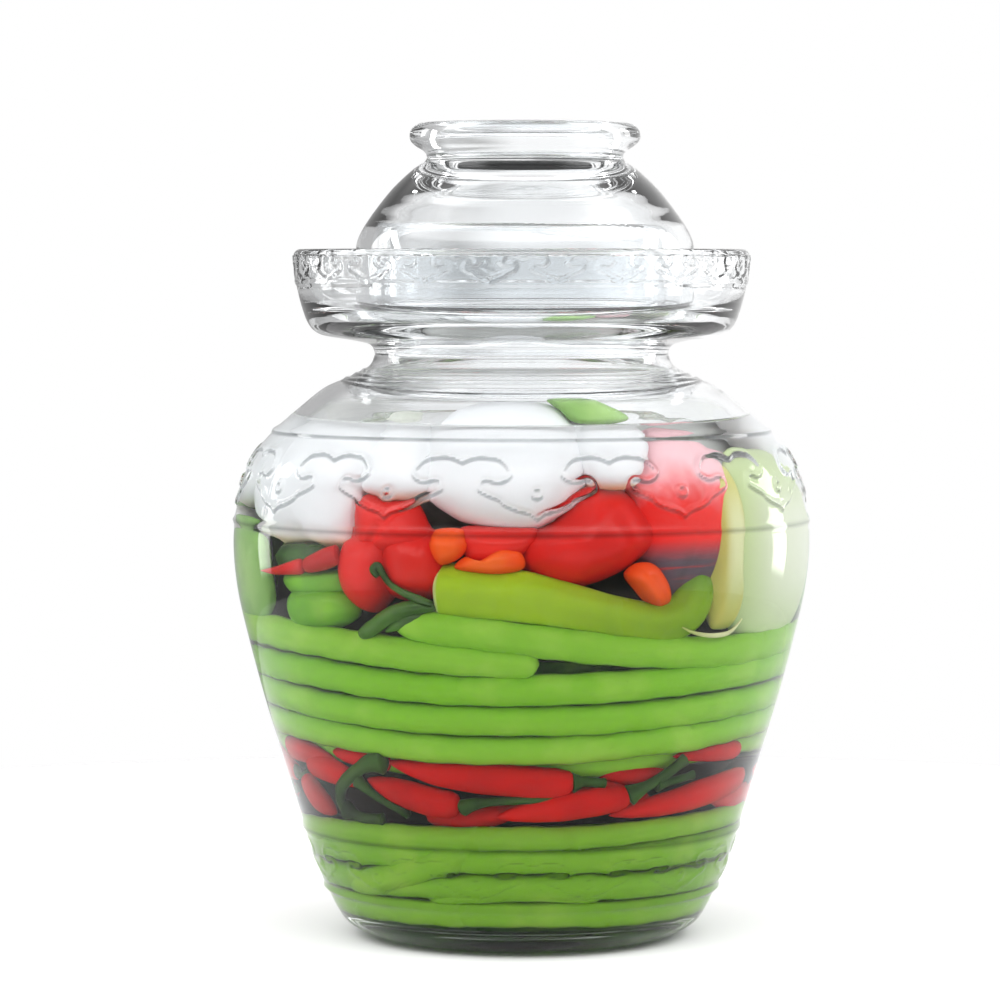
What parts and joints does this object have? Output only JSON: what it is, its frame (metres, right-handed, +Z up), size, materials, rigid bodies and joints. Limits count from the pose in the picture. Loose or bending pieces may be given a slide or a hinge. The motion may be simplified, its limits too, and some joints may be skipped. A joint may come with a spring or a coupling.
{
  "type": "water seal fermentation jar",
  "caption": "Clear glass water seal fermentation jar with loose bowl-shaped lid, filled with green beans, red chillies, peppers and white radish in brine",
  "frame": {"origin": "middle of the foot, on the surface the jar stands on", "axes": "+Z up along the jar's axis, the shown front faces -Y, +X to the viewer's right"},
  "size_m": [0.1656, 0.1656, 0.2324],
  "materials": {
    "glass": "clear, smooth, fire-polished",
    "bean_green": "smooth wet bean pod",
    "chilli_red": "glossy wet skin",
    "pepper_red": "glossy wet skin",
    "pepper_orange": "glossy wet skin",
    "pepper_lime": "smooth wet skin",
    "leaf_green": "smooth wet skin",
    "radish_white": "matte wet peeled root",
    "pale_green": "matte wet cut flesh",
    "brine": "clear liquid round the vegetables"
  },
  "bodies": {
    "root": {"jar": "glass", "lid": "glass", "beans_lower": "bean_green", "beans_upper": "bean_green", "chillies": "chilli_red", "lime_pepper": "pepper_lime", "lantern_stalk": "leaf_green", "lantern_pepper": "pepper_red", "white_radish_big": "radish_white", "red_pepper_big": "pepper_red", "white_radish_left": "radish_white", "pale_slice_front": "pale_green", "pale_slice_side": "pale_green", "red_pepper_side": "pepper_red", "white_radish_right": "radish_white", "white_radish_small": "radish_white", "green_slice_top": "leaf_green", "orange_pepper_left": "pepper_orange", "orange_pepper_middle": "pepper_orange", "orange_pepper_right": "pepper_orange", "red_slice_middle": "pepper_red", "thin_chilli": "chilli_red", "green_piece_left": "leaf_green", "green_leaf_left": "leaf_green", "green_leaf_side": "leaf_green", "green_sprig": "leaf_green", "back_green_low_1": "leaf_green", "back_radish_low_2": "radish_white", "back_pepper_low_3": "pepper_red", "back_green_low_4": "leaf_green", "back_radish_low_5": "radish_white", "back_radish_high_1": "radish_white", "back_pale_high_2": "pale_green", "back_radish_high_3": "radish_white", "back_pale_high_4": "pale_green", "back_radish_high_5": "radish_white", "inner_vegetables": "radish_white"}
  },
  "joints": []
}
